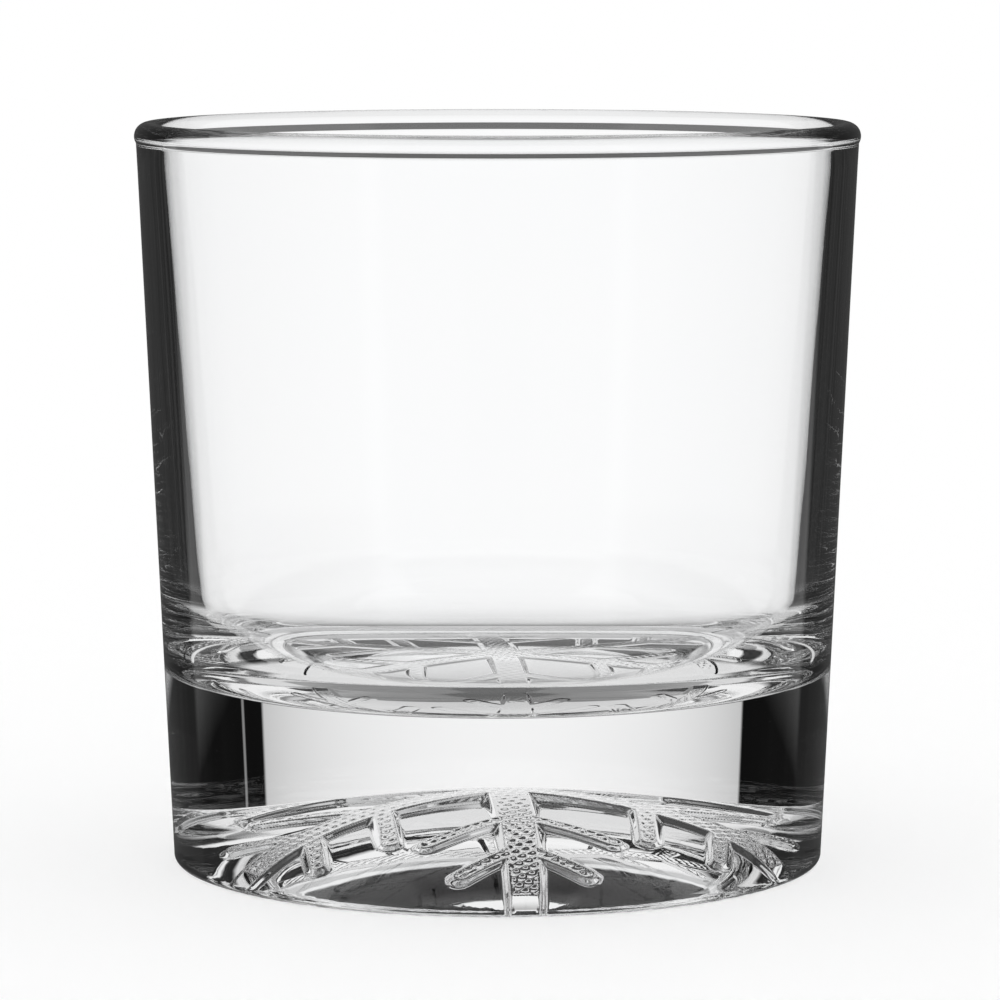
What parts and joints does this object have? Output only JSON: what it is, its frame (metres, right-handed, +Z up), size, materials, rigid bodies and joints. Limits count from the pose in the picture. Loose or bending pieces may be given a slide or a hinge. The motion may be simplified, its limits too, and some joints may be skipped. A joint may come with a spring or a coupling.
{
  "type": "whiskey tumbler",
  "caption": "Clear heavy-base tumbler with a beaded rim, tapered wall, rounded inside and a snowflake sunk into its domed underside, for holding a short drink.",
  "frame": {"origin": "on the axis of the glass, in the plane of the foot ring that it stands on", "axes": "+Z up along the axis, -Y towards the viewer of the picture"},
  "size_m": [0.0864, 0.0864, 0.0886],
  "materials": {
    "bowl_glass": "clear, fire-polished",
    "base_glass": "clear, smooth sides, stippled grooves below"
  },
  "bodies": {
    "root": {"bowl": "bowl_glass", "base": "base_glass"}
  },
  "joints": []
}
